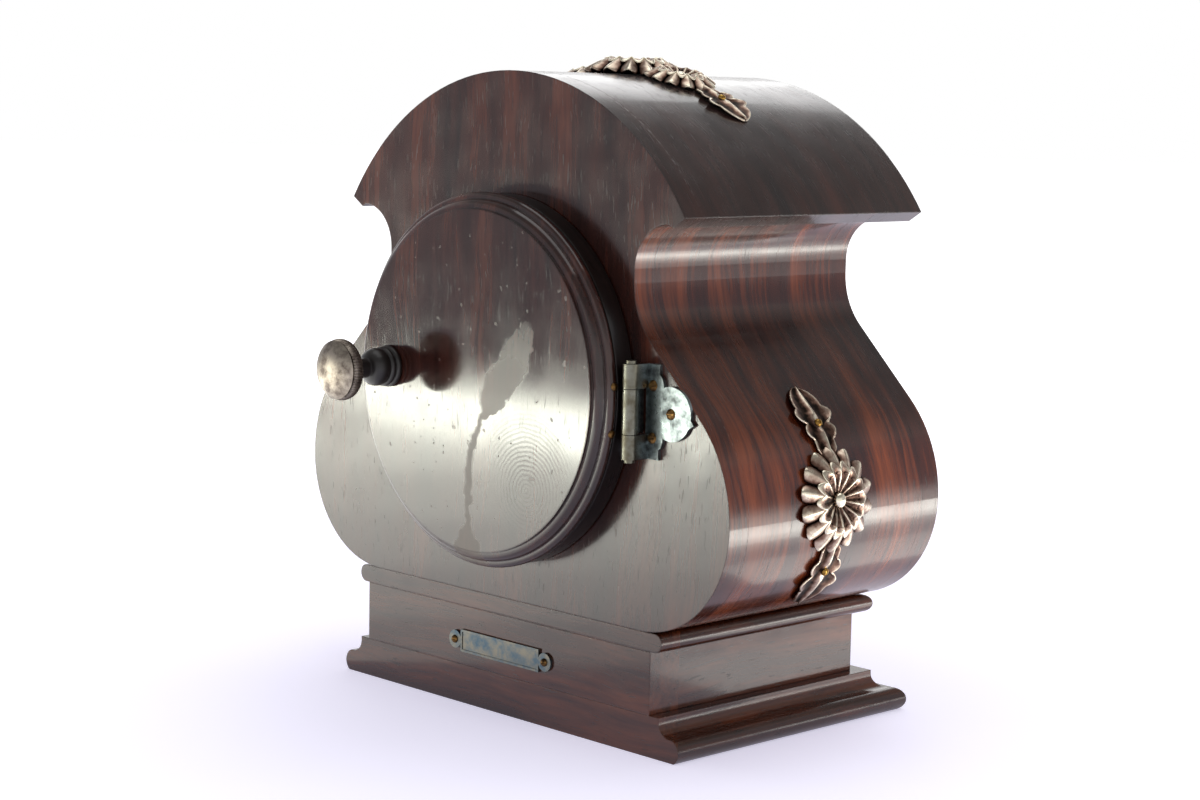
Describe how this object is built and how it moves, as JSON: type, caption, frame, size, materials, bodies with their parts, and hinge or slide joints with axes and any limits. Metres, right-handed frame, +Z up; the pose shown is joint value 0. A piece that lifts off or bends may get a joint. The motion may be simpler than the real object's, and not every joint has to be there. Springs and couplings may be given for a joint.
{
  "type": "cylinder music box",
  "caption": "Bow-topped polished wooden case with a round hinged door, silvered mounts and a spring-driven cylinder and comb music movement inside.",
  "frame": {"origin": "centre of the base underside", "axes": "+Z up, -Y towards the side with the round door, +X to the right as one faces that door"},
  "size_m": [0.205, 0.1456, 0.2062],
  "materials": {
    "rosewood": "high-gloss polished veneer",
    "silvered": "tarnished silver plate",
    "nickel": "dull nickel plate",
    "gilt_brass": "polished brass",
    "brass": "lacquered brass",
    "steel": "polished steel",
    "ebonised_wood": "black polish",
    "spruce": "bare soundboard",
    "bronzed_iron": "bronzed casting"
  },
  "bodies": {
    "case": {"back_panel": "rosewood", "front_panel": "rosewood", "left_side": "rosewood", "right_side": "rosewood", "left_eave_cove": "rosewood", "right_eave_cove": "rosewood", "roof": "rosewood", "case_floor": "spruce", "plinth_bead": "rosewood", "plinth_block": "rosewood", "base_moulding": "rosewood", "case_screws": "steel", "hinge_case_leaf": "nickel", "hinge_pin": "nickel", "hinge_screws": "gilt_brass", "left_mount": "silvered", "right_mount": "silvered", "top_mount": "silvered", "mount_pins": "gilt_brass", "nameplate": "silvered", "nameplate_pins": "gilt_brass", "bedplate": "bronzed_iron", "movement_screws": "steel", "left_bridge": "brass", "right_bridge": "brass", "comb_base": "brass", "comb": "steel", "comb_screws": "steel", "barrel_bridge_left": "brass", "barrel_bridge_right": "brass", "click_screw": "steel", "click_spring": "steel", "governor_bracket": "brass", "stop_slide_screws": "steel"},
    "door": {"door_face": "rosewood", "door_drum": "rosewood", "door_band_nails": "gilt_brass", "knob_stem": "ebonised_wood", "knob_head": "silvered", "knob_screw": "steel", "hinge_door_leaf": "nickel", "hinge_leaf_screws": "gilt_brass"},
    "cylinder": {"cylinder": "brass", "cylinder_pins": "steel", "cylinder_arbor": "steel", "cylinder_wheel": "brass"},
    "barrel": {"barrel": "brass", "barrel_cover": "brass", "great_wheel": "brass", "mainspring": "steel"},
    "winding": {"winding_arbor": "steel", "ratchet_wheel": "steel", "winding_key": "steel"},
    "click": {"click": "steel"},
    "governor": {"governor_arbor": "steel", "worm_wheel": "brass"},
    "worm": {"endless_screw": "steel", "fan": "steel"},
    "stop": {"stop_slide": "brass"}
  },
  "joints": [
    {"name": "door_hinge", "type": "hinge", "parent": "case", "child": "door", "pos_m": [0.062, -0.05865, 0.1033], "axis": [0, 0, 1], "range_deg": [0, 120]},
    {"name": "cylinder_spin", "type": "hinge", "parent": "case", "child": "cylinder", "pos_m": [0.008, 0.00795, 0.0705], "axis": [1, 0, 0], "continuous": true},
    {"name": "barrel_spin", "type": "hinge", "parent": "case", "child": "barrel", "pos_m": [-0.037, -0.01445, 0.0705], "axis": [1, 0, 0], "continuous": true},
    {"name": "winding_spin", "type": "hinge", "parent": "case", "child": "winding", "pos_m": [-0.05, -0.01445, 0.0705], "axis": [1, 0, 0], "continuous": true},
    {"name": "click_swing", "type": "hinge", "parent": "case", "child": "click", "pos_m": [-0.0566, -0.00745, 0.081], "axis": [1, 0, 0], "range_deg": [0, 7]},
    {"name": "governor_spin", "type": "hinge", "parent": "case", "child": "governor", "pos_m": [0.044, 0.01995, 0.0705], "axis": [1, 0, 0], "continuous": true},
    {"name": "worm_spin", "type": "hinge", "parent": "case", "child": "worm", "pos_m": [0.0462, 0.01335, 0.0705], "axis": [0, 0, 1], "continuous": true},
    {"name": "stop_travel", "type": "slide", "parent": "case", "child": "stop", "axis": [0, 1, 0], "range_m": [0, 0.0022]}
  ],
  "couplings": [
    {"joint": "barrel_spin", "follows": "cylinder_spin", "ratio": -0.33333},
    {"joint": "governor_spin", "follows": "cylinder_spin", "ratio": -3},
    {"joint": "worm_spin", "follows": "cylinder_spin", "ratio": -42}
  ]
}
